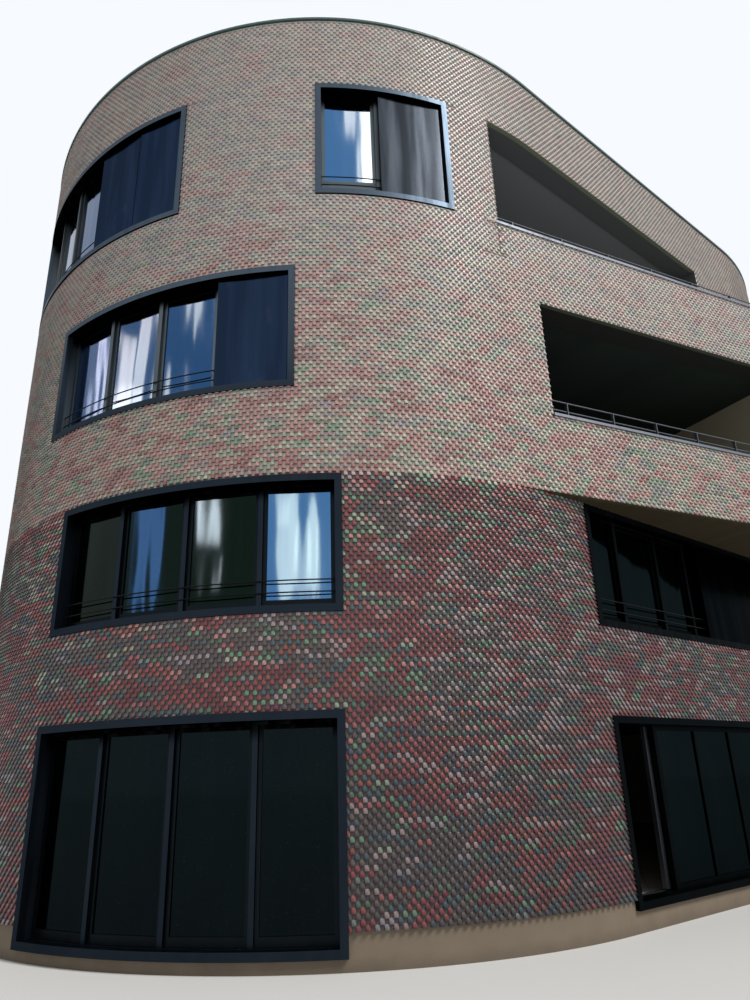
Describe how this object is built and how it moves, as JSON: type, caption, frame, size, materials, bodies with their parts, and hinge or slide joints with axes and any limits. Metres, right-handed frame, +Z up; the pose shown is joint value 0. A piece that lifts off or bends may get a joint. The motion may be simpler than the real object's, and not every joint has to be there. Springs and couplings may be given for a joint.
{
  "type": "apartment block",
  "caption": "Four-storey apartment block on a rounded three-cornered plan, with tiled walls, curved windows, an overhanging bay with a loggia and a terrace above it.",
  "frame": {"origin": "centre of the front corner's arc, on the ground under the plinth", "axes": "+Z up; -Y towards the round front corner; +X towards the side with the bay and the terrace door"},
  "size_m": [20.3151, 16.8176, 12.7],
  "materials": {
    "render": "fine sand render",
    "concrete": "fair-faced concrete",
    "gravel": "loose round gravel",
    "tile_low": "glazed ceramic in red, grey and green",
    "tile_high": "glazed ceramic in pale pink, cream and grey-green",
    "soffit_board": "smooth painted board",
    "light_metal": "satin folded sheet",
    "coping_metal": "dark green-grey folded sheet",
    "dark_lining": "dark painted board",
    "dark_metal": "anthracite powder coat, satin",
    "screen_metal": "anthracite sheet, half gloss",
    "glazing": "clear double glazing, dark behind",
    "rail_metal": "satin steel",
    "leaf_metal": "natural anodised",
    "steel": "plain steel"
  },
  "bodies": {
    "building": {"plinth": "render", "ground_slab": "concrete", "slab_first": "concrete", "slab_second": "concrete", "bay_floor": "concrete", "slab_third": "concrete", "roof_slab": "concrete", "roof_gravel": "gravel", "wall_low_nose": "tile_low", "wall_low_side": "tile_low", "wall_low_right": "tile_low", "wall_low_rear": "tile_low", "wall_low_left": "tile_low", "wall_low_left_side": "tile_low", "wall_mid_nose": "tile_high", "wall_mid_bay": "tile_high", "wall_mid_right": "tile_high", "wall_mid_rear": "tile_high", "wall_mid_left": "tile_high", "wall_mid_left_side": "tile_high", "wall_top_nose": "tile_high", "wall_top_side": "tile_high", "wall_top_right": "tile_high", "wall_top_rear": "tile_high", "wall_top_left": "tile_high", "wall_top_left_side": "tile_high", "bay_soffit": "soffit_board", "terrace_parapet": "tile_high", "parapet_caps": "light_metal", "roof_coping": "coping_metal", "loggia_walls": "dark_lining", "loggia_ceilings": "dark_lining", "loggia_screens": "dark_metal", "loggia_glass": "glazing", "window_surrounds": "dark_metal", "window_sashes": "dark_metal", "window_glass": "glazing", "sliding_screens": "screen_metal", "guard_rods": "dark_metal", "loggia_railings": "rail_metal", "door_surround": "dark_metal", "door_fixed_frame": "dark_metal", "door_fixed_glass": "glazing", "door_track": "steel"},
    "door": {"door_leaf": "leaf_metal", "door_leaf_glass": "glazing", "door_rollers": "steel"}
  },
  "joints": [
    {"name": "door_slide", "type": "slide", "parent": "building", "child": "door", "axis": [0.5736, 0.8192, 0], "range_m": [-0.935, 0.08]}
  ]
}
